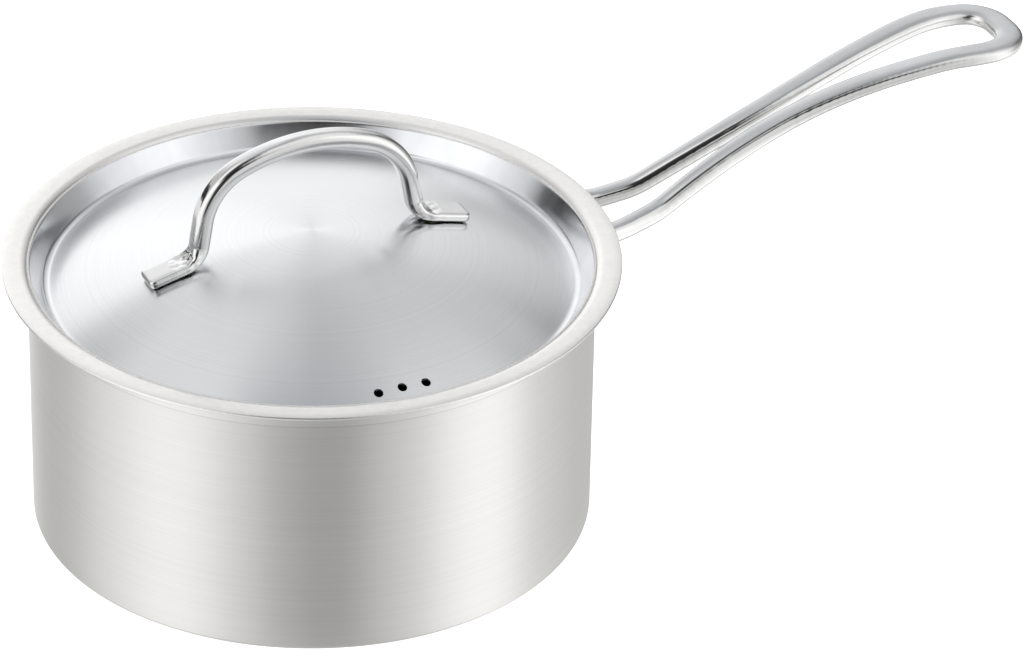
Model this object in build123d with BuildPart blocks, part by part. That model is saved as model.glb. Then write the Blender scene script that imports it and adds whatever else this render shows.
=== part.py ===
# Saucepan with an inset domed lid and two bent-rod handles, in stainless steel.
# Frame: origin at the centre of the pot's base, +Z up, the long handle along +X.
# All sizes are in millimetres.

from build123d import *

import math
import os

os.makedirs("parts", exist_ok=True)

# ------------------------------------------------------------------ pot body
pot_inner_dia = 180.0  # nominal bore of the pan
pot_sheet = 1.0  # wall and base thickness
pot_height = 91.0  # base to the top of the rim
brim_width = 9.2  # flared pouring rim, from the bore out to its edge
mouth_radius = 3.5  # rounded mouth, from the bore out to the flat rim
base_radius = 2.0  # outside radius between the wall and the base
edge_round = 0.3  # rounding of a trimmed sheet edge

# ----------------------------------------------------------------- lid shell
lid_sheet = 0.6
lid_seat_gap = 0.3  # running clearance between the lid's wall and the mouth
lid_flare = 30.0  # lean of the lid's wall away from the vertical, degrees
lid_lip_height = 1.0  # wall above the point where it seats in the mouth
lid_crown_rise = 9.5  # top of the dome above the rim
lid_dome_radius = 205.0
lid_valley_radius = 2.3  # inside radius between the wall and the dome
vent_dia = 3.0
vent_count = 3
vent_pitch = 8.0
vent_inset = 13.0  # from the pan's bore in to the row of vents
fittings_offset = -1.9  # vents and handle are set this far off the lid's centre, along X

# ------------------------------------------------------- rod handles, shared
rod_width = 6.8
rod_height = 6.1
rod_corner = 2.4  # corner radius of the rod's rounded section
tab_width = 10.0  # the rod's ends are hammered flat into welding tabs
tab_thickness = 2.6
tab_corner = 0.7
tab_clip = 1.0  # clipped corners at the free end of a tab
weld_gap = 0.4  # height of the welding nuggets that carry a tab
weld_dia = 5.0

# ----------------------------------------------------------------- lid handle
grip_rise = 32.5  # centre line of the arch above the top of the dome
grip_crown_radius = 58.0
grip_crown_turn = 22.3  # how far the crown arc turns down on each side, degrees
grip_shoulder_radius = 22.0
grip_leg_turn = 80.0  # the legs' slope below the horizontal, degrees
grip_foot_radius = 7.0
lid_tab_end = 55.0  # from the lid's centre to the tab's free end
lid_tab_length = 13.0
lid_weld_pitch = 6.0

# ---------------------------------------------------------------- long handle
# Every reach is measured out from the edge of the brim, and every rise up from the rim.
rod_mouth_gap = 1.35  # between the rounded mouth and the top of the rod below it
handle_tab_run = 15.0  # flat length of each tab down the wall
handle_tab_bend = 7.0  # centre line radius between tab and rod
handle_tab_distance = 24.8  # from one tab to the other, round the wall
rod_wall_gap = 0.5  # between the wall and the rod above its tab
handle_weld_pitch = 9.0
rods_toe_in = 0.167  # sideways slope of each rod where it leaves the wall
waist_reach = 60.8  # out to where the rods run closest
waist_gap = 3.74  # clear width between them there
loop_reach = 128.8  # out to where the end loop begins to turn
loop_gap = 18.8  # clear width between the rods there
loop_splay = 0.13  # sideways slope of each rod there
loop_shoulder_radius = 36.0  # the loop turns gently at first,
loop_shoulder_turn = 17.4  # by this many degrees,
loop_bend_radius = 11.0  # and then tightly until it points across
lift_reach = 13.0  # out to where the rods turn upward
lift_rise = -6.2
lift_slope = 0.2
ramp_reach = 22.0  # out to the start of the steep part of the handle
ramp_rise = -3.4
ramp_slope = 0.53
crest_reach = 106.8  # out to a point where the handle is nearly level
crest_rise = 29.5
crest_slope = 0.2
loop_rise = 32.5
loop_slope = -0.01
press_reach = 18.8  # from here out to the loop the rod is pressed flatter and broader
crisp_reach = 60.8  # its corners are crisp from here on
loop_width = 9.0  # the pressed rod's section round the loop
loop_height = 4.4
loop_corner = 1.1
spread_length = 6.0  # over which the rod spreads into its tab

# Numbers of cross-sections that shape the curved stretches of the rods.
foot_steps = 4
bend_steps = 4
run_steps = 30
shoulder_steps = 2
loop_steps = 6

# ------------------------------------------------------------- derived sizes
bore_radius = pot_inner_dia / 2
wall_radius = bore_radius + pot_sheet
brim_radius = bore_radius + brim_width
mouth_centre = (bore_radius + mouth_radius, pot_height - mouth_radius)
tab_size = (tab_width, tab_thickness, tab_corner)
clip_side = math.sqrt(2) * tab_clip
loop_size = (loop_width, loop_height, loop_corner)
UP = Vector(0, 0, 1)
nudge = 0.01  # a short step along the handle, to find which way it runs
crown_top = pot_height + lid_crown_rise
dome_centre = (0, crown_top - lid_dome_radius)
nugget_height = 2 * weld_gap  # before the sheet's curve trims it


def smooth(place, knots):
    """Value at a place on the smooth curve through (place, value, slope) knots."""
    start, end = knots[0], knots[1]
    for nearer, further in zip(knots, knots[1:]):
        if place >= nearer[0]:
            start, end = nearer, further
    span = end[0] - start[0]
    t = min(max((place - start[0]) / span, 0), 1)
    hold = 2 * t**3 - 3 * t**2 + 1
    lead = (t**3 - 2 * t**2 + t) * span
    trail = (t**3 - t**2) * span
    return hold * start[1] + (1 - hold) * end[1] + lead * start[2] + trail * end[2]


def meet_dome(point, direction, radius):
    """Where a line from a point outside the dome's circle first meets that circle."""
    height = point[1] - dome_centre[1]
    along = point[0] * direction[0] + height * direction[1]
    reach = -along - math.sqrt(along**2 - point[0] ** 2 - height**2 + radius**2)
    return (point[0] + reach * direction[0], point[1] + reach * direction[1])


def mix(start, end, share):
    """A value part of the way from start to end."""
    return start + (end - start) * share


# ------------------------------------------------------------------ pot body
# One drawn sheet: flat base, straight wall, and a mouth that rolls out to a flat brim.
with BuildPart() as pot_body:
    with BuildSketch(Plane.XZ) as pot_section:
        with BuildLine() as pot_outline:
            Polyline(
                (wall_radius, pot_height - mouth_radius),
                (wall_radius, base_radius),
            )
            RadiusArc((wall_radius, base_radius), (wall_radius - base_radius, 0), base_radius)
            Polyline(
                (wall_radius - base_radius, 0),
                (0, 0),
                (0, pot_sheet),
                (wall_radius - base_radius, pot_sheet),
            )
            RadiusArc(
                (wall_radius - base_radius, pot_sheet),
                (bore_radius, base_radius),
                -(base_radius - pot_sheet),
            )
            Line((bore_radius, base_radius), (bore_radius, mouth_centre[1]))
            RadiusArc(
                (bore_radius, mouth_centre[1]),
                (mouth_centre[0], pot_height),
                mouth_radius,
            )
            Polyline(
                (mouth_centre[0], pot_height),
                (brim_radius, pot_height),
                (brim_radius, pot_height - pot_sheet),
                (mouth_centre[0], pot_height - pot_sheet),
            )
            RadiusArc(
                (mouth_centre[0], pot_height - pot_sheet),
                (wall_radius, mouth_centre[1]),
                -(mouth_radius - pot_sheet),
            )
        make_face()
        fillet(pot_section.vertices().group_by(Axis.X)[-1], edge_round)
    revolve(axis=Axis.Z)

pot_body.part.label = "pot_body"
export_step(pot_body.part, "parts/pot_body.step")

# ----------------------------------------------------------------- lid shell
# The wall leans outward and rests on the rounded mouth; a spherical dome rises inside it.
flare = math.radians(lid_flare)
wall_up = (math.sin(flare), math.cos(flare))
wall_out = (math.cos(flare), -math.sin(flare))
seat = (
    mouth_centre[0] - (mouth_radius + lid_seat_gap) * wall_out[0],
    mouth_centre[1] - (mouth_radius + lid_seat_gap) * wall_out[1],
)
lip_outside = (seat[0] + lid_lip_height * wall_up[0], seat[1] + lid_lip_height * wall_up[1])
lip_inside = (
    lip_outside[0] - lid_sheet * wall_out[0],
    lip_outside[1] - lid_sheet * wall_out[1],
)
wall_down = (-wall_up[0], -wall_up[1])
valley_top = meet_dome(lip_inside, wall_down, lid_dome_radius)
valley_under = meet_dome(lip_outside, wall_down, lid_dome_radius - lid_sheet)

with BuildPart() as lid_shell:
    with BuildSketch(Plane.XZ) as lid_section:
        with BuildLine() as lid_outline:
            Polyline(valley_top, lip_inside, lip_outside, valley_under)
            RadiusArc(valley_under, (0, crown_top - lid_sheet), -(lid_dome_radius - lid_sheet))
            Line((0, crown_top - lid_sheet), (0, crown_top))
            RadiusArc((0, crown_top), valley_top, lid_dome_radius)
        make_face()
        fillet(lid_section.vertices().sort_by_distance(valley_top)[0], lid_valley_radius)
        outer_valley_radius = lid_valley_radius + lid_sheet
        fillet(lid_section.vertices().sort_by_distance(valley_under)[0], outer_valley_radius)
    revolve(axis=Axis.Z)
    with BuildSketch(Plane.XY) as vent_row:
        with Locations((fittings_offset, vent_inset - bore_radius)):
            with GridLocations(vent_pitch, 1, vent_count, 1):
                Circle(vent_dia / 2)
    extrude(amount=crown_top, mode=Mode.SUBTRACT)

lid_shell.part.label = "lid_shell"
export_step(lid_shell.part, "parts/lid_shell.step")

# ---------------------------------------------------------------- lid handle
# A rod arch in the XZ plane. Its flattened feet lie along the dome, on welding nuggets.
tab_lift = weld_gap + tab_thickness / 2  # tab centre line above what it is welded to
tab_lean = math.asin((lid_tab_end - lid_tab_length / 2) / lid_dome_radius)
leg_turn = math.radians(grip_leg_turn)
dome_normal = Vector(math.sin(tab_lean), 0, math.cos(tab_lean))
foot_step = grip_foot_radius * Vector(
    math.sin(leg_turn) - math.sin(tab_lean),
    0,
    math.cos(leg_turn) - math.cos(tab_lean),
)

with BuildPart() as lid_handle:
    with BuildLine(Plane.XZ) as grip_line:
        crown = JernArc((0, crown_top + grip_rise), (1, 0), grip_crown_radius, -grip_crown_turn)
        shoulder = JernArc(
            crown @ 1, crown % 1, grip_shoulder_radius, grip_crown_turn - grip_leg_turn
        )
        above_dome = shoulder @ 1 + foot_step - Vector(0, 0, dome_centre[1])
        leg_drop = dome_normal.dot(above_dome) - lid_dome_radius - tab_lift
        leg_length = -leg_drop / dome_normal.dot(shoulder % 1)
        leg = Line(shoulder @ 1, shoulder @ 1 + leg_length * (shoulder % 1))
    with BuildSketch(Plane(origin=crown @ 0, x_dir=(0, 1, 0), z_dir=crown % 0)):
        RectangleRounded(rod_width, rod_height, rod_corner)
    sweep(path=grip_line.wire())

    # The foot turns outward while the round rod spreads into the flat tab.
    with BuildLine(Plane.XZ) as foot_line:
        foot = JernArc(
            leg @ 1, leg % 1, grip_foot_radius, grip_leg_turn - math.degrees(tab_lean)
        )
    for step in range(foot_steps + 1):
        share = step / foot_steps
        with BuildSketch(Plane(origin=foot @ share, x_dir=(0, 1, 0), z_dir=foot % share)):
            RectangleRounded(
                mix(rod_width, tab_width, share),
                mix(rod_height, tab_thickness, share),
                mix(rod_corner, tab_corner, share),
            )
    loft()
    lid_tab_plane = Plane(origin=foot @ 1, x_dir=foot % 1, z_dir=dome_normal)
    lid_tab_run = (lid_tab_end - (foot @ 1).X) / math.cos(tab_lean)
    with BuildSketch(Plane(origin=foot @ 1, x_dir=(0, 1, 0), z_dir=foot % 1)):
        RectangleRounded(*tab_size)
    extrude(amount=lid_tab_run)
    with BuildSketch(lid_tab_plane):
        with Locations((lid_tab_run, tab_width / 2), (lid_tab_run, -tab_width / 2)):
            Rectangle(clip_side, clip_side, rotation=45)
    extrude(amount=tab_thickness, both=True, mode=Mode.SUBTRACT)
    mirror(about=Plane.YZ)

# The dome is a sphere, so the handle keeps its seat when it is swung about the sphere's centre.
swing_axis = Axis((0, 0, dome_centre[1]), (0, 1, 0))
swing = math.degrees(math.asin(fittings_offset / lid_dome_radius))
lid_handle.part = lid_handle.part.rotate(swing_axis, swing)
lid_handle.part.label = "lid_handle"
export_step(lid_handle.part, "parts/lid_handle.step")

# Two nuggets of weld between each tab and the dome.
with BuildPart() as lid_handle_welds:
    with BuildSketch(lid_tab_plane.offset(-tab_thickness / 2)) as lid_nuggets:
        with Locations((lid_tab_run / 2, 0)):
            with GridLocations(lid_weld_pitch, 1, 2, 1):
                Circle(weld_dia / 2)
    extrude(amount=-nugget_height)
    with Locations((0, 0, dome_centre[1])):
        Sphere(lid_dome_radius, mode=Mode.SUBTRACT)
    mirror(about=Plane.YZ)

lid_handle_welds.part = lid_handle_welds.part.rotate(swing_axis, swing)
lid_handle_welds.part.label = "lid_handle_welds"
export_step(lid_handle_welds.part, "parts/lid_handle_welds.step")

# --------------------------------------------------------------- long handle
# One half of the loop, from the tab on the wall to the far tip, then its mirror image.
tab_radius = wall_radius + tab_lift
tab_angle = handle_tab_distance / 2 / wall_radius
toe_in = math.atan(rods_toe_in)
run_height = pot_height - mouth_radius - rod_mouth_gap - rod_height / 2
bend_bottom = run_height - handle_tab_bend
tab_outward = Vector(math.cos(tab_angle), math.sin(tab_angle), 0)
tab_across = Vector(-math.sin(tab_angle), math.cos(tab_angle), 0)
run_outward = Vector(math.cos(toe_in), -math.sin(toe_in), 0)
rod_radius = wall_radius + rod_wall_gap + rod_height / 2
bend_start = rod_radius * tab_outward + bend_bottom * UP
tab_top = tab_radius * tab_outward + (bend_bottom - spread_length) * UP
run_start = bend_start + handle_tab_bend * (run_outward + UP)

waist_place = brim_radius + waist_reach
loop_place = brim_radius + loop_reach
press_knots = ((brim_radius + press_reach, 0, 0), (loop_place, 1, 0))
crisp_knots = ((brim_radius + press_reach, 0, 0), (brim_radius + crisp_reach, 1, 0))
waist_width = mix(rod_width, loop_width, smooth(waist_place, press_knots))
offset_knots = (
    (run_start.X, run_start.Y, -rods_toe_in),
    (waist_place, (waist_gap + waist_width) / 2, 0),
    (loop_place, (loop_gap + loop_width) / 2, loop_splay),
)
height_knots = (
    (run_start.X, run_height, 0),
    (brim_radius + lift_reach, pot_height + lift_rise, lift_slope),
    (brim_radius + ramp_reach, pot_height + ramp_rise, ramp_slope),
    (brim_radius + crest_reach, pot_height + crest_rise, crest_slope),
    (loop_place, pot_height + loop_rise, loop_slope),
)
loop_turn = 90 + math.degrees(math.atan(loop_splay))


def run_point(place):
    """Centre of the rod at a distance from the pot's axis."""
    return Vector(place, smooth(place, offset_knots), smooth(place, height_knots))


handle_tab_plane = Plane(origin=tab_top, x_dir=tab_across, z_dir=tab_outward)
loop_plane = Plane(
    origin=run_point(loop_place),
    x_dir=(1, loop_splay, loop_slope),
    z_dir=(-loop_slope, 0, 1),
)
bend_plane = Plane(origin=bend_start, x_dir=run_outward, z_dir=run_outward.cross(UP))

with BuildPart() as long_handle:
    with BuildLine() as tab_line:
        spread = Line(bend_start, tab_top)
    with BuildLine(bend_plane) as bend_line:
        bend = JernArc((0, 0), (0, 1), handle_tab_bend, -90)
    with BuildLine(loop_plane) as loop_line:
        loop_shoulder = JernArc((0, 0), (1, 0), loop_shoulder_radius, -loop_shoulder_turn)
        loop_bend = JernArc(
            loop_shoulder @ 1, loop_shoulder % 1, loop_bend_radius, loop_shoulder_turn - loop_turn
        )
        loop_end = Line(loop_bend @ 1, loop_bend @ 1 - Vector(0, (loop_bend @ 1).Y, 0))
    # Stations for the loft: where the rod is, the way it runs, how far it is flattened, and
    # how far its corners have become crisp.
    stations = []
    for step in range(bend_steps):
        place = step / bend_steps
        stations.append((bend @ place, bend % place, 0, 0))
    for step in range(run_steps):
        place = mix(run_start.X, loop_place, step / run_steps)
        heading = run_point(place + nudge) - run_point(place - nudge)
        pressed = smooth(place, press_knots)
        stations.append((run_point(place), heading, pressed, smooth(place, crisp_knots)))
    for line, steps in ((loop_shoulder, shoulder_steps), (loop_bend, loop_steps), (loop_end, 1)):
        for step in range(steps):
            place = step / steps
            stations.append((line @ place, line % place, 1, 1))
    stations.append((loop_end @ 1, loop_end % 1, 1, 1))
    for centre, heading, pressed, crisp in stations:
        across = UP.cross(Vector(heading.X, heading.Y, 0) if heading.X else run_outward)
        with BuildSketch(Plane(origin=centre, x_dir=across, z_dir=heading)):
            RectangleRounded(
                mix(rod_width, loop_width, pressed),
                mix(rod_height, loop_height, pressed),
                mix(rod_corner, loop_corner, crisp),
            )
    loft()
    # Below the bend the rod spreads into the tab, which lies along the wall.
    for place in (0, 1):
        with BuildSketch(Plane(origin=spread @ place, x_dir=tab_across, z_dir=UP)):
            RectangleRounded(
                mix(rod_width, tab_width, place),
                mix(rod_height, tab_thickness, place),
                mix(rod_corner, tab_corner, place),
            )
    loft()
    with BuildSketch(Plane(origin=tab_top, x_dir=tab_across, z_dir=-UP)):
        RectangleRounded(*tab_size)
    extrude(amount=handle_tab_run)
    with BuildSketch(handle_tab_plane):
        with Locations((tab_width / 2, -handle_tab_run), (-tab_width / 2, -handle_tab_run)):
            Rectangle(clip_side, clip_side, rotation=45)
    extrude(amount=tab_thickness, both=True, mode=Mode.SUBTRACT)
    mirror(about=Plane.XZ)

long_handle.part.label = "long_handle"
export_step(long_handle.part, "parts/long_handle.step")

# Two nuggets of weld between each tab and the wall.
with BuildPart() as pot_handle_welds:
    with BuildSketch(handle_tab_plane.offset(-tab_thickness / 2)) as pot_nuggets:
        with Locations((0, -handle_tab_run / 2)):
            with GridLocations(1, handle_weld_pitch, 1, 2):
                Circle(weld_dia / 2)
    extrude(amount=-nugget_height)
    with Locations((0, 0, pot_height / 2)):
        Cylinder(wall_radius, pot_height, mode=Mode.SUBTRACT)
    mirror(about=Plane.XZ)

pot_handle_welds.part.label = "pot_handle_welds"
export_step(pot_handle_welds.part, "parts/pot_handle_welds.step")
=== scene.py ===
# %% [markdown]
# # A saucepan with a drop-in lid
#
# This notebook dresses a stainless-steel saucepan. The pan and its lid are spun from sheet, and
# both handles are bent from rod. The exact shapes come from a CAD frame, so what is left for
# Blender is the finish: how each surface was ground, polished or pressed, and what it mirrors.

# %% Load the frame
import math

import bpy
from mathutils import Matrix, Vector


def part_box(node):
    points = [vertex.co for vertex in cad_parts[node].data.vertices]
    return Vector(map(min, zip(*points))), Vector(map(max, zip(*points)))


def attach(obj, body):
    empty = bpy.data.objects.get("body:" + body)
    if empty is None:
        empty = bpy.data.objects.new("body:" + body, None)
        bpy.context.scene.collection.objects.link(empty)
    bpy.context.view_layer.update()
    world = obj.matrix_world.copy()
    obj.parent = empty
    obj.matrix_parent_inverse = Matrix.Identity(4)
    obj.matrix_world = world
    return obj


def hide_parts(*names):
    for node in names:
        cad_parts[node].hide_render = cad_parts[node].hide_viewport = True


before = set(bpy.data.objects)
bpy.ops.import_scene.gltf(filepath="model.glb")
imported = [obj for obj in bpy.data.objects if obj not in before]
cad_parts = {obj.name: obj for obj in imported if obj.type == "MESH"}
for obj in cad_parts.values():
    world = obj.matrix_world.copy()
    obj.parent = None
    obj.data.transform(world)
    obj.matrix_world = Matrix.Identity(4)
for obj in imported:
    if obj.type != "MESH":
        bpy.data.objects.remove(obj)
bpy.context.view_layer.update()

print("nodes:", sorted(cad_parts))

# %% [markdown]
# Every size below is in metres. The few lengths that the finish needs are read from the frame's own
# boxes, so they follow the pan if it is made larger.

# %% Sizes from the frame
MM = 0.001
_, pot_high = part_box("pot_body")
_, lid_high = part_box("lid_shell")
rim_height = pot_high.z
brim_radius = pot_high.x
print(f"rim {rim_height / MM:.1f} mm high, brim {2 * brim_radius / MM:.1f} mm across")

# %% [markdown]
# ## The camera
#
# A long lens from well above the rim keeps the pan's ellipses even and its wall nearly upright. The
# camera is placed by where it aims, how far it stands back and its two angles, and then tilted a
# little about its own axis.

# %% Camera
camera_aim = Vector((58.3, -27.2, 66.8)) * MM
camera_distance = 1.8366
camera_turn = math.radians(25.0)  # to the left of the pan's front
camera_height = math.radians(30.83)  # above the horizon
camera_roll = math.radians(1.24)
camera_lens = 200.6  # millimetres, as a lens is named

towards_camera = Vector(
    (
        -math.sin(camera_turn) * math.cos(camera_height),
        -math.cos(camera_turn) * math.cos(camera_height),
        math.sin(camera_height),
    )
)
bpy.ops.object.select_all(action="DESELECT")
bpy.ops.object.camera_add(location=camera_aim + camera_distance * towards_camera)
camera = bpy.context.object
camera.rotation_euler = (-towards_camera).to_track_quat("-Z", "Y").to_euler()
camera.rotation_euler.rotate_axis("Z", camera_roll)
camera.data.lens = camera_lens
camera.data.sensor_width = 36.0
camera.data.clip_end = 20
bpy.context.scene.camera = camera
print("camera stands at", [round(x, 3) for x in camera.location])

# %% [markdown]
# ## Helpers for colours and nodes
#
# Colours are written as the hex values that a colour picker shows. Blender's sockets want linear
# light, so one function converts them. A second small function adds a node to a material, sets its
# properties, and fills or links its inputs. A Mix node numbers its sockets by data type: colours go
# into sockets 6 and 7, and plain values into sockets 2 and 3.


# %% Colour and node helpers
def linear(hex_colour):
    """An sRGB hex colour as linear RGBA."""
    parts = [int(hex_colour[place : place + 2], 16) / 255 for place in (1, 3, 5)]
    return [p / 12.92 if p <= 0.04045 else ((p + 0.055) / 1.055) ** 2.4 for p in parts] + [1]


def add_node(tree, kind, inputs=None, stops=(), **settings):
    """Adds a node with its settings and links.

    Inputs maps a socket's name or place to a value or to another node's output. Stops are the
    (place, colour) pairs of a colour ramp.
    """
    made = tree.nodes.new(kind)
    for name, value in settings.items():
        setattr(made, name, value)
    for name, value in (inputs or {}).items():
        if isinstance(value, bpy.types.NodeSocket):
            tree.links.new(value, made.inputs[name])
        else:
            made.inputs[name].default_value = value
    if stops:
        band = made.color_ramp
        band.interpolation = "EASE"
        while len(band.elements) < len(stops):
            band.elements.new(0.5)
        for element, (place, colour) in zip(band.elements, stops):
            element.position = place
            element.color = colour
    return made


def new_material(name):
    """An empty node material and its tree."""
    material = bpy.data.materials.new(name)
    material.use_nodes = True
    material.node_tree.nodes.clear()
    return material, material.node_tree


print("a middle grey is", round(linear("#808080")[0], 3), "in linear light")

# %% [markdown]
# ## The studio
#
# Polished steel has hardly a colour of its own: what the eye reads as steel is the room in it. The
# room here is a round white tent with darker gaps, which is how pans are lit for a catalogue. Its
# brightness all round is held for six heights, from its foot to its roof, as pairs of degrees and
# brightness. The degrees are counted from the camera, positive to its right. The dark gap round the
# camera is what draws the black lines on the rods, and a low dark rail at the left gives them one
# more edge to mirror.

# %% Tent panels
tent_low = (
    (-180, 0.96), (-158, 0.81), (-130, 0.51), (-110, 0.61), (-90, 0.82), (-60, 1.28), (-30, 1.02),
    (-8, 0.93), (5, 0.73), (28, 0.6), (44, 0.78), (57, 1.11), (80, 1.4), (108, 1.0), (136, 0.84),
    (160, 1.0), (180, 0.96),
)
tent_horizon = (
    (-180, 1.15), (-150, 1.2), (-122, 0.95), (-97, 1.05), (-84, 1.25), (-40, 1.25), (-22, 0.7),
    (-8, 0.06), (14, 0.05), (26, 0.8), (44, 0.9), (60, 1.3), (80, 1.25), (96, 0.6), (116, 0.45),
    (128, 0.32), (136, 0.13), (158, 0.1), (170, 0.5), (180, 1.15),
)
dark_rail = ((-150, 1.25), (-137, 0.5), (-127, 0.05), (-105, 0.03), (-96, 0.5))
tent_rail = tent_horizon[:1] + dark_rail + tent_horizon[4:]
tent_middle = (
    (-180, 1.15), (-164, 1.3), (-146, 1.15), (-124, 0.6), (-106, 0.6), (-92, 0.9), (-66, 1.4),
    (-38, 1.3), (-26, 0.8), (-14, 0.1), (-4, 0.03), (22, 0.03), (32, 0.7), (42, 0.92), (64, 1.35),
    (94, 1.0), (112, 0.5), (126, 0.2), (142, 0.18), (150, 0.55), (158, 0.68), (167, 0.84),
    (180, 1.12),
)
tent_high = (
    (-180, 0.76), (-170, 0.94), (-158, 0.85), (-146, 0.82), (-136, 0.55), (-104, 0.5), (-90, 1.0),
    (-56, 1.2), (-42, 0.6), (-30, 0.12), (-20, 0.03), (8, 0.03), (18, 0.6), (30, 1.0), (90, 1.0),
    (106, 0.5), (136, 0.5), (147, 0.68), (166, 0.66), (180, 0.76),
)
tent_top = (
    (-180, 0.58), (-166, 0.78), (-146, 0.86), (-126, 0.8), (-100, 1.0), (-69, 1.3), (-46, 0.5),
    (-32, 0.08), (0, 0.05), (11, 0.3), (24, 0.9), (64, 1.0), (110, 1.0), (130, 0.8), (146, 0.74),
    (166, 0.62), (180, 0.58),
)
overhead = (0.48, 0.5, 0.52, 1)
table = (0.6, 0.6, 0.6, 1)
white = (1, 1, 1, 1)
black = (0, 0, 0, 1)
tent_rings = (tent_low, tent_horizon, tent_rail, tent_middle, tent_high, tent_top)
print("tent has", len(tent_rings), "rings of up to", max(map(len, tent_rings)), "places")

# %% [markdown]
# The tent itself is built in the world shader. A radial gradient gives the direction round the pan,
# and a colour ramp over it paints each ring. Each ring fades into the next over a short range of
# heights, where -1 is straight down and 1 straight up. The camera alone sees plain white instead.

# %% World
world = bpy.data.worlds.new("light_tent")
bpy.context.scene.world = world
world.use_nodes = True
tree = world.node_tree
tree.nodes.clear()
direction = add_node(tree, "ShaderNodeTexCoord").outputs["Generated"]
turned = add_node(
    tree,
    "ShaderNodeMapping",
    {"Vector": direction, "Rotation": (0, 0, math.radians(90) + camera_turn)},
)
around = add_node(
    tree, "ShaderNodeTexGradient", {"Vector": turned.outputs["Vector"]}, gradient_type="RADIAL"
).outputs["Fac"]
pitch = add_node(tree, "ShaderNodeSeparateXYZ", {"Vector": direction}).outputs["Z"]


def panels_round(panels):
    """The tent's brightness all round, at one height."""
    stops = [(turn / 360 + 0.5, (light, light, light, 1)) for turn, light in panels]
    return add_node(tree, "ShaderNodeValToRGB", {"Fac": around}, stops=stops).outputs["Color"]


def fade(below, above, start, end):
    """Fades from what lies below into what lies above, between two heights."""
    lift = add_node(
        tree,
        "ShaderNodeMapRange",
        {"Value": pitch, "From Min": start, "From Max": end},
        interpolation_type="SMOOTHSTEP",
    ).outputs["Result"]
    inputs = {"Factor": lift, 6: below, 7: above}
    return add_node(tree, "ShaderNodeMix", inputs, data_type="RGBA").outputs[2]


tent = fade(panels_round(tent_low), table, -0.72, -0.9)
tent = fade(tent, panels_round(tent_horizon), -0.42, -0.18)
tent = fade(tent, panels_round(tent_rail), -0.05, 0.01)
tent = fade(tent, panels_round(tent_middle), 0.17, 0.27)
tent = fade(tent, panels_round(tent_high), 0.54, 0.65)
tent = fade(tent, panels_round(tent_top), 0.68, 0.8)
tent = fade(tent, overhead, 0.93, 0.99)
seen = add_node(tree, "ShaderNodeLightPath").outputs["Is Camera Ray"]
shown = add_node(tree, "ShaderNodeMix", {"Factor": seen, 6: tent, 7: white}, data_type="RGBA")
background = add_node(tree, "ShaderNodeBackground", {"Color": shown.outputs[2], "Strength": 1.0})
add_node(tree, "ShaderNodeOutputWorld", {"Surface": background.outputs[0]})
print("tent made with", len(tree.nodes), "nodes")

# %% [markdown]
# ## The floor
#
# The pan stands on white paper. The paper takes the pan's soft shadow, and a little added light for
# camera rays alone lifts the rest of it to white. Glossy rays don't see it: low down, the pan's
# wall mirrors the tent, as it would above a table that is hardly larger than the pan.

# %% Floor
PAPER_SIZE = 8.0  # metres
PAPER_DROP = 0.1 * MM  # below the base, so that the two never share a plane

paper, tree = new_material("white_paper")
diffuse = add_node(tree, "ShaderNodeBsdfDiffuse", {"Color": linear("#f2f2f2")})
seen = add_node(tree, "ShaderNodeLightPath").outputs["Is Camera Ray"]
glow = add_node(tree, "ShaderNodeEmission", {"Color": white, "Strength": seen})
both = add_node(tree, "ShaderNodeAddShader", {0: diffuse.outputs[0], 1: glow.outputs[0]})
add_node(tree, "ShaderNodeOutputMaterial", {"Surface": both.outputs[0]})

bpy.ops.object.select_all(action="DESELECT")
bpy.ops.mesh.primitive_plane_add(size=PAPER_SIZE, location=(0, 0, -PAPER_DROP))
floor = bpy.context.object
floor.name = "floor"
floor.data.materials.append(paper)
floor.visible_glossy = False
print("floor", floor.dimensions)

# %% [markdown]
# ## Spinning the pan
#
# A pan like this is pressed or spun from one disc of sheet, so its shape is one line turned about
# an axis. That line could be typed in as points, but it is quicker to draw as a maker would bend
# wire: straight runs, and bends about a centre. A single vertex is pulled along the runs with
# extrude, and swept round the bends with spin. A last spin by a full turn makes the surface, and
# Solidify gives it the thickness of the sheet.

# %% Helpers for a spun sheet
ROUND = 256  # steps round the pan
SAME_POINT = 0.001 * MM  # points nearer than this are one point


def start_line(name, height):
    """A mesh with one selected vertex on the axis, in edit mode, ready to be pulled into a line."""
    bpy.ops.object.select_all(action="DESELECT")
    bpy.ops.mesh.primitive_plane_add(size=MM)
    made = bpy.context.object
    made.name = name
    bpy.ops.object.mode_set(mode="EDIT")
    bpy.ops.mesh.select_mode(type="VERT")
    bpy.ops.mesh.merge(type="CENTER")
    bpy.ops.transform.translate(value=(0, 0, height))
    return made


def run(out, up, steps=1):
    """Pulls the line straight on."""
    for _ in range(steps):
        bpy.ops.mesh.extrude_region_move(
            TRANSFORM_OT_translate={"value": (out / steps, 0, up / steps)}
        )


def bend(centre, degrees, steps):
    """Sweeps the line's end about a centre (radius, height)."""
    bpy.ops.mesh.spin(
        steps=steps, angle=math.radians(degrees), center=(centre[0], 0, centre[1]), axis=(0, 1, 0)
    )


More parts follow.
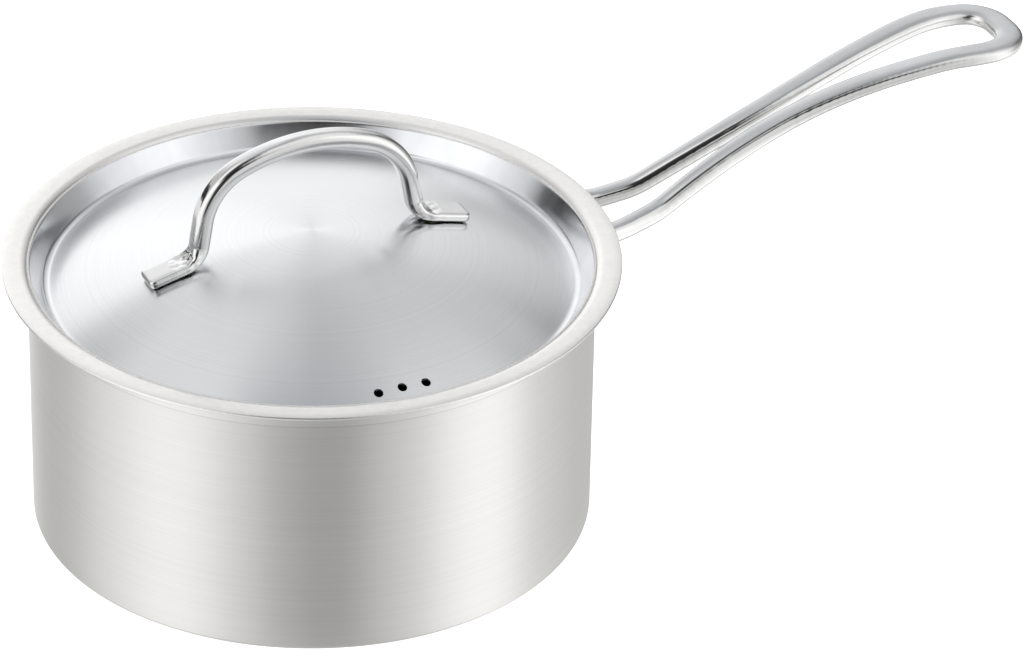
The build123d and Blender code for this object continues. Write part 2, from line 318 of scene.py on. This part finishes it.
def spin_round(made, up):
    """Turns the drawn line into a surface of revolution, whose middle faces up or down."""
    bpy.ops.mesh.select_all(action="SELECT")
    bpy.ops.mesh.spin(
        steps=ROUND, angle=2 * math.pi, center=(0, 0, 0), axis=(0, 0, 1), use_auto_merge=True
    )
    bpy.ops.mesh.select_all(action="SELECT")
    bpy.ops.mesh.remove_doubles(threshold=SAME_POINT)
    bpy.ops.mesh.normals_make_consistent(inside=False)
    bpy.ops.object.mode_set(mode="OBJECT")
    bpy.ops.object.transform_apply(location=True, rotation=True, scale=True)
    middle = min(made.data.polygons, key=lambda face: math.hypot(face.center.x, face.center.y))
    if (middle.normal.z > 0) != up:
        bpy.ops.object.mode_set(mode="EDIT")
        bpy.ops.mesh.flip_normals()
        bpy.ops.object.mode_set(mode="OBJECT")
    print(made.name, "has", len(made.data.polygons), "faces round", made.dimensions)


def apply_modifier(made, kind, **settings):
    """Adds a modifier, sets it and applies it."""
    modifier = made.modifiers.new(kind.lower(), kind)
    for name, value in settings.items():
        setattr(modifier, name, value)
    bpy.context.view_layer.objects.active = made
    bpy.ops.object.modifier_apply(modifier=modifier.name)


def select_edges(made, chosen):
    """Selects the edges whose both ends pass a test, in edit mode."""
    bpy.ops.object.mode_set(mode="EDIT")
    bpy.ops.mesh.select_mode(type="EDGE")
    bpy.ops.mesh.select_all(action="DESELECT")
    bpy.ops.object.mode_set(mode="OBJECT")
    points = made.data.vertices
    for edge in made.data.edges:
        edge.select = all(chosen(points[i].co) for i in edge.vertices)
    bpy.ops.object.mode_set(mode="EDIT")


# %% [markdown]
# The pan's line is its outside: along the flat base, round the heel, up the wall, and out under the
# brim. Solidify then adds the sheet on the inner side. A spun sheet keeps its thickness round the
# bends, and an even Solidify does the same. The trimmed edge of the brim gets a small bevel,
# because a cut edge is always broken with a file, and that little round catches a bright line.

# %% Pan
SHEET = 1.0 * MM
HEEL = 2.0 * MM  # outside radius at the base
THROAT = 2.5 * MM  # outside radius under the brim
BRIM_STANDS_OUT = 8.2 * MM  # from the wall's outside
BROKEN_EDGE = 0.3 * MM
wall_radius = brim_radius - BRIM_STANDS_OUT
under_brim = rim_height - SHEET

pan = start_line("pan", 0)
run(wall_radius - HEEL, 0, steps=3)
bend((wall_radius - HEEL, HEEL), 90, steps=8)
run(0, under_brim - HEEL - THROAT, steps=12)
bend((wall_radius + THROAT, under_brim - THROAT), -90, steps=10)
run(BRIM_STANDS_OUT - THROAT, 0, steps=2)
spin_round(pan, up=False)
apply_modifier(pan, "SOLIDIFY", thickness=SHEET, offset=-1.0, use_even_offset=True)
edge_start = brim_radius - SAME_POINT
select_edges(pan, lambda point: point.x**2 + point.y**2 > edge_start**2)
bpy.ops.mesh.bevel(offset=BROKEN_EDGE, segments=3, affect="EDGES")
bpy.ops.object.mode_set(mode="OBJECT")
low = min(corner[2] for corner in pan.bound_box)
high = max(corner[2] for corner in pan.bound_box)
print(f"pan from {low / MM:.2f} to {high / MM:.2f} mm")

# %% [markdown]
# ## Spinning the lid
#
# The lid is thinner sheet. Its line starts at the middle of the dome and runs down to a valley,
# where it turns up into a leaning wall. The wall meets the pan's rounded mouth, and its lip curls a
# little way over it. The centre of the valley's bend is found as a machinist would find it: a ball
# of the bend's radius touches the dome and the wall at once, so its centre is at a known distance
# from each.

# %% Lid
LID_SHEET = 0.6 * MM
DOME = 205.0 * MM
VALLEY = 2.3 * MM
MOUTH = 3.5 * MM  # the pan's rounded mouth, from its bore
SEAT_GAP = 0.02 * MM
LIP_CURL = 16.0  # degrees
CURL_SLACK = 0.5  # degrees
FILED_LIP = 0.4 * MM
wall_lean = math.radians(30.0)

mouth_centre = Vector((wall_radius - SHEET + MOUTH, rim_height - MOUTH))
dome_centre = Vector((0, lid_high.z - DOME))
wall_up = Vector((math.sin(wall_lean), math.cos(wall_lean)))
wall_out = Vector((math.cos(wall_lean), -math.sin(wall_lean)))
seat = mouth_centre - (MOUTH + SEAT_GAP + LID_SHEET) * wall_out
above_valley = seat - VALLEY * wall_out - dome_centre
along = above_valley.dot(wall_up)
wall_length = along - math.sqrt(along**2 - above_valley.length_squared + (DOME + VALLEY) ** 2)
ball = above_valley - wall_length * wall_up
dome_turn = math.degrees(math.atan2(ball.x, ball.y))
valley_centre = ball + dome_centre

lid = start_line("lid_panel", lid_high.z)
bend(dome_centre, -dome_turn, steps=60)
bend(valley_centre, dome_turn + 90 - math.degrees(wall_lean), steps=10)
run(*(wall_length * wall_up), steps=6)
bend(mouth_centre, -LIP_CURL, steps=4)
spin_round(lid, up=True)
apply_modifier(lid, "SOLIDIFY", thickness=LID_SHEET, offset=-1.0, use_even_offset=True)


def past_lip(point):
    """True on the upper edge that ends the curled lip."""
    from_mouth = Vector((mouth_centre.x - math.hypot(point.x, point.y), point.z - mouth_centre.y))
    turn = math.degrees(math.atan2(from_mouth.y, from_mouth.x))
    on_top = from_mouth.length > MOUTH + SEAT_GAP + LID_SHEET / 2
    return on_top and turn > math.degrees(wall_lean) + LIP_CURL - CURL_SLACK


select_edges(lid, past_lip)
bpy.ops.mesh.bevel(offset=FILED_LIP, segments=4, affect="EDGES")
bpy.ops.object.mode_set(mode="OBJECT")
print(f"valley bend at {valley_centre.x / MM:.2f} mm, wall {wall_length / MM:.2f} mm long")

# %% [markdown]
# Three steam vents are punched through the dome near its front edge. A cylinder stands in for the
# punch, and Boolean takes it out of the sheet. The cuts leave slivers where they cross the sheet's
# own edges, so the nearest points are merged afterwards.

# %% Steam vents
VENT = 3.0 * MM
VENT_PITCH = 8.0 * MM
VENT_INSET = 13.0 * MM  # from the pan's bore in to the row
VENT_SHIFT = -1.9 * MM  # the row's middle from the pan's
PUNCH_LENGTH = 20.0 * MM
SLIVER = 0.03 * MM
vent_row = wall_radius - SHEET - VENT_INSET

for step in (-1, 0, 1):
    bpy.ops.object.select_all(action="DESELECT")
    bpy.ops.mesh.primitive_cylinder_add(
        vertices=48,
        radius=VENT / 2,
        depth=PUNCH_LENGTH,
        location=(VENT_SHIFT + step * VENT_PITCH, -vent_row, rim_height),
    )
    punch = bpy.context.object
    apply_modifier(lid, "BOOLEAN", object=punch, operation="DIFFERENCE", solver="EXACT")
    bpy.data.objects.remove(punch, do_unlink=True)

bpy.ops.object.mode_set(mode="EDIT")
bpy.ops.mesh.select_mode(type="VERT")
bpy.ops.mesh.select_all(action="SELECT")
bpy.ops.mesh.remove_doubles(threshold=SLIVER)
bpy.ops.object.mode_set(mode="OBJECT")
print("lid_panel has", len(lid.data.polygons), "faces with its vents")

# %% [markdown]
# ## The two handles
#
# Both handles are bent rods, and their shapes are right as they come from CAD. What CAD leaves out
# is what the tools did to their skin. So each is a copy of its CAD mesh, remeshed to even little
# faces and smoothed. Where a rod is worked further, a vertex group says how much, and its weights
# are worked out from the place of each vertex.


# %% Helpers for the rods
def remeshed_copy(node, name, grain, iterations):
    """A smoothed copy of a CAD rod, with faces of an even size."""
    bpy.ops.object.select_all(action="DESELECT")
    cad_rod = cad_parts[node]
    cad_rod.select_set(True)
    bpy.context.view_layer.objects.active = cad_rod
    bpy.ops.object.duplicate()
    made = bpy.context.object
    made.name = name
    bpy.ops.object.mode_set(mode="EDIT")
    bpy.ops.mesh.select_all(action="SELECT")
    bpy.ops.mesh.remove_doubles(threshold=SAME_POINT)
    bpy.ops.object.mode_set(mode="OBJECT")
    apply_modifier(made, "REMESH", mode="VOXEL", voxel_size=grain, use_smooth_shade=True)
    apply_modifier(made, "SMOOTH", factor=0.5, iterations=iterations)
    return made


def weigh(made, name, weight_at):
    """Adds a vertex group whose weights come from a function of each vertex's place."""
    group = made.vertex_groups.new(name=name)
    for vertex in made.data.vertices:
        weight = min(1.0, weight_at(vertex.co))
        if weight > 0:
            group.add([vertex.index], weight, "REPLACE")


def round_off(made, name, iterations, lost_skin):
    """Smooths a weighted part, and puts back the skin that smoothing takes off it."""
    apply_modifier(made, "SMOOTH", factor=0.5, iterations=iterations, vertex_group=name)
    apply_modifier(made, "DISPLACE", strength=lost_skin, mid_level=0.0, vertex_group=name)


# %% [markdown]
# The lid handle's ends were beaten flat into tabs. Tumbling has since rounded the tabs' corners. At
# each bend the hammer puckered the skin into small creases: Displace moves it there by a cell
# pattern as coarse as a hammer's marks.

# %% Lid handle with hammered bends
GRIP_GRAIN = 0.3 * MM
TAB_LENGTH = 12.0 * MM  # tumbled round this far in from each end
TAB_FADE = 3.0 * MM
TAB_SKIN = 0.2 * MM
BEND_INSET = 14.5 * MM  # from the handle's end to the bend
BEND_RISE = 6.0 * MM  # from its underside to the bend
CREASED_REACH = 7.0 * MM
CREASE_PITCH = 2.6 * MM
CREASE_DEPTH = 0.9 * MM
grip_low, grip_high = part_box("lid_handle")
bends = [
    Vector((grip_low.x + BEND_INSET, 0, grip_low.z + BEND_RISE)),
    Vector((grip_high.x - BEND_INSET, 0, grip_low.z + BEND_RISE)),
]


def tab_weight(place):
    """1 on the tabs, fading out before the bends."""
    from_end = min(place.x - grip_low.x, grip_high.x - place.x)
    return (TAB_LENGTH - from_end) / TAB_FADE


def crease_weight(place):
    """1 at the middle of each bend, fading out round it."""
    return 1 - min((place - bend_place).length for bend_place in bends) / CREASED_REACH


grip = remeshed_copy("lid_handle", "lid_grip", GRIP_GRAIN, iterations=6)
weigh(grip, "tabs", tab_weight)
round_off(grip, "tabs", iterations=45, lost_skin=TAB_SKIN)
weigh(grip, "creased", crease_weight)
marks = bpy.data.textures.new("hammer_marks", "VORONOI")
marks.noise_scale = CREASE_PITCH
marks.distance_metric = "DISTANCE"
apply_modifier(
    grip,
    "DISPLACE",
    texture=marks,
    vertex_group="creased",
    strength=-CREASE_DEPTH,
    mid_level=0.4,
)
grip.vertex_groups.clear()
print("lid_grip has", len(grip.data.polygons), "faces")

# %% [markdown]
# The long handle was pressed flatter round its loop. CAD gives it even corners, but a press
# squeezes the steel sideways, so the real corners roll over softly and the flat top is slightly
# crowned. That comes from smoothing too. The first part, which goes under the brim, was hardly
# pressed and is smoothed less.

# %% Long handle with rolled corners
BAR_GRAIN = 0.36 * MM
BAR_SKIN = 0.36 * MM
PRESS_START = 4.0 * MM  # past the brim
PRESS_FADE = 25.0 * MM


def press_weight(place):
    """0 under the brim, and 1 from a little way out to the end of the loop."""
    past_brim = math.hypot(place.x, place.y) - brim_radius
    return (past_brim - PRESS_START) / PRESS_FADE


bar = remeshed_copy("long_handle", "pan_handle", BAR_GRAIN, iterations=16)
weigh(bar, "rolled", press_weight)
round_off(bar, "rolled", iterations=130, lost_skin=BAR_SKIN)
bar.vertex_groups.clear()
print("pan_handle has", len(bar.data.polygons), "faces", bar.dimensions)

# %% [markdown]
# ## Finishes
#
# Everything here is the same 18/10 stainless steel, so the finishes differ only in how each surface
# was worked. A metal's look is its roughness and the direction of its scratches: scratches that run
# round the pan smear a reflection across themselves, which gives the upright bands on the wall and
# the fans on the dome. The tangent that steers this runs round the Z axis. Every finish reads
# Object coordinates, which are metres here, so a pattern's scale is one over its real size. The
# noise is in the middle of its range nearly everywhere, so only that middle is spread over two
# tones.


# %% Helpers for steel
def scratches(tree, length, width, detail=4.0):
    """Noise stretched into scratches, with their length along x and y and their width along z."""
    where = add_node(tree, "ShaderNodeTexCoord").outputs["Object"]
    inputs = {"Vector": where, "Scale": (1 / length, 1 / length, 1 / width)}
    stretched = add_node(tree, "ShaderNodeMapping", inputs).outputs["Vector"]
    inputs = {"Vector": stretched, "Scale": 1.0, "Detail": detail, "Roughness": 0.6}
    return add_node(tree, "ShaderNodeTexNoise", inputs).outputs["Fac"]


def two_tones(tree, noise, light, dark, low=0.35, high=0.65):
    """A colour that wanders between two close tones, from the light one at low to the dark."""
    inputs = {"Value": noise, "From Min": low, "From Max": high}
    share = add_node(tree, "ShaderNodeMapRange", inputs).outputs["Result"]
    inputs = {"Factor": share, 6: linear(light), 7: linear(dark)}
    return add_node(tree, "ShaderNodeMix", inputs, data_type="RGBA").outputs[2]


def uneven_roughness(tree, noise, smoothest, roughest):
    """A roughness that wanders between two values."""
    inputs = {
        "Value": noise,
        "From Min": 0.3,
        "From Max": 0.7,
        "To Min": smoothest,
        "To Max": roughest,
    }
    return add_node(tree, "ShaderNodeMapRange", inputs).outputs["Result"]


def distance_from_axis(tree):
    """How far a place lies from the pan's axis."""
    where = add_node(tree, "ShaderNodeTexCoord").outputs["Object"]
    inputs = {0: where, 1: (1, 1, 0)}
    flat = add_node(tree, "ShaderNodeVectorMath", inputs, operation="MULTIPLY").outputs["Vector"]
    return add_node(tree, "ShaderNodeVectorMath", {0: flat}, operation="LENGTH").outputs["Value"]


def finish_steel(material, colour, roughness, height, depth, anisotropic=0.0):
    """The steel itself. Height is the scratches' relief, and depth is how deep they go."""
    tree = material.node_tree
    relief = add_node(
        tree, "ShaderNodeBump", {"Height": height, "Strength": 1.0, "Distance": depth}
    ).outputs["Normal"]
    inputs = {"Base Color": colour, "Metallic": 1.0, "Roughness": roughness, "Normal": relief}
    if anisotropic:
        tangent = add_node(tree, "ShaderNodeTangent", direction_type="RADIAL", axis="Z")
        inputs["Tangent"] = tangent.outputs[0]
        inputs["Anisotropic"] = anisotropic
        inputs["Anisotropic Rotation"] = 0.25  # a quarter turn, onto the scratches
    shader = add_node(tree, "ShaderNodeBsdfPrincipled", inputs)
    add_node(tree, "ShaderNodeOutputMaterial", {"Surface": shader.outputs[0]})
    print(material.name, "made with", len(tree.nodes), "nodes")


# %% [markdown]
# The wall is brushed with a belt while the pan turns, so its scratches run round it. Real ones are
# a tenth of a millimetre apart, too fine to see from here: they are drawn about a millimetre apart,
# with fainter bands a few millimetres wide among them. The belt stops a little below the brim, and
# a fine dark line is drawn round the wall there. Above that the metal is only satin.

# %% Brushed wall
SCRATCH_LENGTH = 500.0 * MM
SCRATCH_WIDTH = 0.714 * MM
BAND_LENGTH = 1000.0 * MM
BAND_WIDTH = 6.25 * MM
BAND_SHARE = 0.3
BELT_GAP = 8.3 * MM  # from the rim down to the belt's edge
EDGE_BLUR = 0.2 * MM
EDGE_LINE = 0.192 * MM  # half the dark line's width
belt_edge = rim_height - BELT_GAP

brushed, tree = new_material("brushed_stainless")
fine = scratches(tree, SCRATCH_LENGTH, SCRATCH_WIDTH)
broad = scratches(tree, BAND_LENGTH, BAND_WIDTH, detail=2.0)
both_scales = add_node(
    tree, "ShaderNodeMix", {"Factor": BAND_SHARE, 2: fine, 3: broad}, data_type="FLOAT"
).outputs[0]
where = add_node(tree, "ShaderNodeTexCoord").outputs["Object"]
height = add_node(tree, "ShaderNodeSeparateXYZ", {"Vector": where}).outputs["Z"]
below_edge = add_node(
    tree,
    "ShaderNodeMapRange",
    {"Value": height, "From Min": belt_edge + EDGE_BLUR, "From Max": belt_edge - EDGE_BLUR},
).outputs["Result"]
across_edge = add_node(
    tree,
    "ShaderNodeMapRange",
    {"Value": height, "From Min": belt_edge - EDGE_LINE, "From Max": belt_edge + EDGE_LINE},
).outputs["Result"]
on_line = add_node(
    tree,
    "ShaderNodeValToRGB",
    {"Fac": across_edge},
    stops=[(0.0, black), (0.5, white), (1.0, black)],
).outputs["Color"]
worn = two_tones(tree, both_scales, "#ebeae8", "#e6e5e3")
plain = add_node(
    tree, "ShaderNodeMix", {"Factor": below_edge, 6: linear("#ecebea"), 7: worn}, data_type="RGBA"
).outputs[2]
lined = add_node(
    tree, "ShaderNodeMix", {"Factor": on_line, 6: plain, 7: linear("#d0d0cf")}, data_type="RGBA"
).outputs[2]
roughness = uneven_roughness(tree, both_scales, 0.38, 0.4)
finish_steel(brushed, lined, roughness, fine, depth=0.0007 * MM, anisotropic=0.9)

# %% [markdown]
# The brim is the part that the maker touches last. It is rubbed by hand with a fine pad, which
# leaves it paler and flatter than the wall, with hardly a line in it. The pad's marks are far finer
# than the two millimetres that they are drawn at.

# %% Satin brim
PAD_MARK = 2.0 * MM

satin, tree = new_material("satin_stainless")
rubbed = scratches(tree, PAD_MARK, PAD_MARK, detail=3.0)
pale = two_tones(tree, rubbed, "#ecebea", "#e8e7e6")
roughness = uneven_roughness(tree, rubbed, 0.28, 0.32)
finish_steel(satin, pale, roughness, rubbed, depth=0.0006 * MM, anisotropic=0.6)

# %% [markdown]
# The dome is polished while it turns, so its marks are rings about its middle. A noise of one
# number, the distance from the axis, gives exactly that. Real rings are too fine to show, so these
# are drawn a millimetre apart. A faint cloudiness dulls the polish here and there.

# %% Spun dome
RING_PITCH = 1.0 * MM
DULL_PATCH = 55.6 * MM

spun, tree = new_material("spun_stainless")
inputs = {0: distance_from_axis(tree), 1: 1 / RING_PITCH}
ring_count = add_node(tree, "ShaderNodeMath", inputs, operation="MULTIPLY").outputs[0]
rings = add_node(
    tree,
    "ShaderNodeTexNoise",
    {"W": ring_count, "Scale": 1.0, "Detail": 3.0, "Roughness": 0.6},
    noise_dimensions="1D",
).outputs["Fac"]
turned_steel = two_tones(tree, rings, "#e7e8ea", "#e4e5e7", low=0.3, high=0.7)
cloud = scratches(tree, DULL_PATCH, DULL_PATCH, detail=2.0)
roughness = uneven_roughness(tree, cloud, 0.19, 0.24)
finish_steel(spun, turned_steel, roughness, rings, depth=0.0008 * MM, anisotropic=0.9)

# %% [markdown]
# The lid's wall is buffed almost to a mirror: it shows the studio's dark gaps as sharp upright
# bars. A buffing wheel leaves a faint waviness, which keeps the bars from being ruler-straight.

# %% Buffed lid wall
WAVE_WIDTH = 11.1 * MM
WAVE_HEIGHT = 25.0 * MM

buffed, tree = new_material("buffed_stainless")
wave = scratches(tree, WAVE_WIDTH, WAVE_HEIGHT, detail=2.0)
bright = two_tones(tree, wave, "#e2e3e6", "#dbdcdf", low=0.3, high=0.7)
roughness = uneven_roughness(tree, wave, 0.14, 0.2)
finish_steel(buffed, bright, roughness, wave, depth=0.006 * MM)

# %% [markdown]
# The lid is trimmed to size with a shear and its lip is then filed. Filing leaves the dullest steel
# on the whole pan, a thin pale line round the lid. The file's strokes are drawn coarser than they
# are.

# %% Filed lip
FILE_STROKE = 1.43 * MM

filed, tree = new_material("filed_stainless")
strokes = scratches(tree, FILE_STROKE, FILE_STROKE, detail=3.0)
dull = two_tones(tree, strokes, "#f4f3f2", "#ecebea")
roughness = uneven_roughness(tree, strokes, 0.6, 0.7)
finish_steel(filed, dull, roughness, strokes, depth=0.002 * MM)

# %% [markdown]
# Both handles are cold-drawn rod, tumbled with stones until they are smooth, so their sides mirror
# the studio. The tops were pressed between flat dies, and a die leaves a duller, rougher skin. The
# tops' colour is painted shade as well: much greyer than the sides on the long handle, and only a
# little greyer on the lid's, which was polished again by hand. The shader tells the top from the
# sides by the object-space normal: where it points up, the pressed finish and the painted shade
# take over. The loop of the long handle is the part that hands and hooks rub, so its sides lose
# some of their gloss. A little cloudiness runs through both, and fine specks, drawn about a
# millimetre wide so that they show.

# %% Tumbled rods
CLOUD_SIZE = 16.7 * MM
SPECK_SIZE = 1.11 * MM
# Past these tilts the top takes the pressed finish and its painted shade.
SIDE_TILT = 0.78  # how far up the normal points where the sides end
TOP_TILT = 0.9  # and where the top is all pressed
WEAR_START = brim_radius + 70 * MM
WEAR_FULL = brim_radius + 120 * MM
WEAR = 0.16  # added to the sides' roughness


def tumbled_rod(name, shaded_top_light, shaded_top_dark, top_roughness):
    """Rod steel with mirror-like sides and a duller pressed top, whose colour is painted shade."""
    made, tree = new_material(name)
    normal = add_node(tree, "ShaderNodeTexCoord").outputs["Normal"]
    upward = add_node(tree, "ShaderNodeSeparateXYZ", {"Vector": normal}).outputs["Z"]
    inputs = {"Value": upward, "From Min": SIDE_TILT, "From Max": TOP_TILT}
    pressed = add_node(tree, "ShaderNodeMapRange", inputs).outputs["Result"]

    cloudy = scratches(tree, CLOUD_SIZE, CLOUD_SIZE, detail=3.0)
    sides = two_tones(tree, cloudy, "#e6e6e5", "#e0e0df")
    # Painted shade: the top's two tones are greyer than the sides'.
    top = two_tones(tree, cloudy, shaded_top_light, shaded_top_dark)
    inputs = {"Factor": pressed, 6: sides, 7: top}
    colour = add_node(tree, "ShaderNodeMix", inputs, data_type="RGBA").outputs[2]

    inputs = {
        "Value": distance_from_axis(tree),
        "From Min": WEAR_START,
        "From Max": WEAR_FULL,
        "To Max": WEAR,
    }
    wear = add_node(tree, "ShaderNodeMapRange", inputs).outputs["Result"]
    inputs = {0: uneven_roughness(tree, cloudy, 0.05, 0.1), 1: wear}
    side_roughness = add_node(tree, "ShaderNodeMath", inputs, operation="ADD").outputs[0]
    inputs = {"Factor": pressed, 2: side_roughness, 3: top_roughness}
    roughness = add_node(tree, "ShaderNodeMix", inputs, data_type="FLOAT").outputs[0]

    specks = scratches(tree, SPECK_SIZE, SPECK_SIZE, detail=2.0)
    finish_steel(made, colour, roughness, specks, depth=0.002 * MM)
    return made


# The tops' tones are painted shade: far greyer than the sides on the long handle, a little on the
# lid's.
pressed_rod_with_painted_shade = tumbled_rod("pressed_stainless_shaded_top", "#cbccce", "#c4c5c7", top_roughness=0.26)
polished_rod = tumbled_rod("polished_stainless", "#e4e4e5", "#dededf", top_roughness=0.14)

# %% [markdown]
# A spot weld heats the steel until it takes colour: straw at first, then blue at the hottest place.

# %% Spot welds
HEAT_PATCH = 2.0 * MM

welded, tree = new_material("weld_steel")
heat = scratches(tree, HEAT_PATCH, HEAT_PATCH, detail=2.0)
tints = [(0.3, linear("#a8a49c")), (0.5, linear("#b59f78")), (0.7, linear("#7d8494"))]
heat_colour = add_node(tree, "ShaderNodeValToRGB", {"Fac": heat}, stops=tints).outputs["Color"]
roughness = uneven_roughness(tree, heat, 0.3, 0.5)
finish_steel(welded, heat_colour, roughness, heat, depth=0.03 * MM)

# %% [markdown]
# ## Dressing the pieces
#
# The pan carries two finishes and the lid three, so each gets that many material slots. The first
# finish is the one for most of the piece, and the faces of the others are chosen by place. The rods
# and the welds carry one each.

# %% Assign the finishes
SATIN_DEPTH = 1.9 * MM  # the brim and the mouth, down from the rim
LIP_DEPTH = 1.05 * MM  # the filed lip's lower edge, down from the rim
SHARP_ANGLE = math.radians(35)


def dress(piece, first, *others):
    """Gives a piece one finish, and others on the faces whose centres pass their tests."""
    piece.data.materials.clear()
    piece.data.materials.append(first)
    for slot, (finish, chosen) in enumerate(others, start=1):
        piece.data.materials.append(finish)
        for face in piece.data.polygons:
            if chosen(face.center):
                face.material_index = slot
    print(piece.name, "wears", [finish.name for finish in piece.data.materials])


def on_brim(point):
    """True on the flat brim and its rounded mouth."""
    return point.z > rim_height - SATIN_DEPTH


def on_lid_wall(point):
    """True from the valley's bend to the lip."""
    return math.hypot(point.x, point.y) > valley_centre.x


def on_lip(point):
    """True on the lid's filed lip."""
    return on_lid_wall(point) and point.z > rim_height - LIP_DEPTH


dress(pan, brushed, (satin, on_brim))
dress(lid, spun, (buffed, on_lid_wall), (filed, on_lip))
dress(grip, polished_rod)
dress(bar, pressed_rod_with_painted_shade)
dress(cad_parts["pot_handle_welds"], welded)
dress(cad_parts["lid_handle_welds"], welded)

for piece in (pan, lid):
    bpy.ops.object.select_all(action="DESELECT")
    piece.select_set(True)
    bpy.context.view_layer.objects.active = piece
    bpy.ops.object.shade_smooth_by_angle(angle=SHARP_ANGLE)

# Large faces steer the shading, so the slivers round the vents don't show.
apply_modifier(lid, "WEIGHTED_NORMAL", keep_sharp=True, weight=50)

# %% [markdown]
# Each new piece rides on the body that carries it and stands for the CAD node that it replaces,
# which is hidden. The last column names that node's slot.

# %% Tie the pieces to the frame
for piece, body, node, slot in (
    (pan, "pot", "pot_body", "brushed_stainless"),
    (lid, "lid", "lid_shell", "brushed_stainless"),
    (grip, "lid", "lid_handle", "polished_stainless"),
    (bar, "pot", "long_handle", "polished_stainless"),
):
    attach(piece, body)
    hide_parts(node)
    print(piece.name, "rides on", body, "and replaces", node)

# %% [markdown]
# The plain view transform shows a colour as it is written.

# %% Finish
bpy.context.scene.view_settings.view_transform = "Standard"
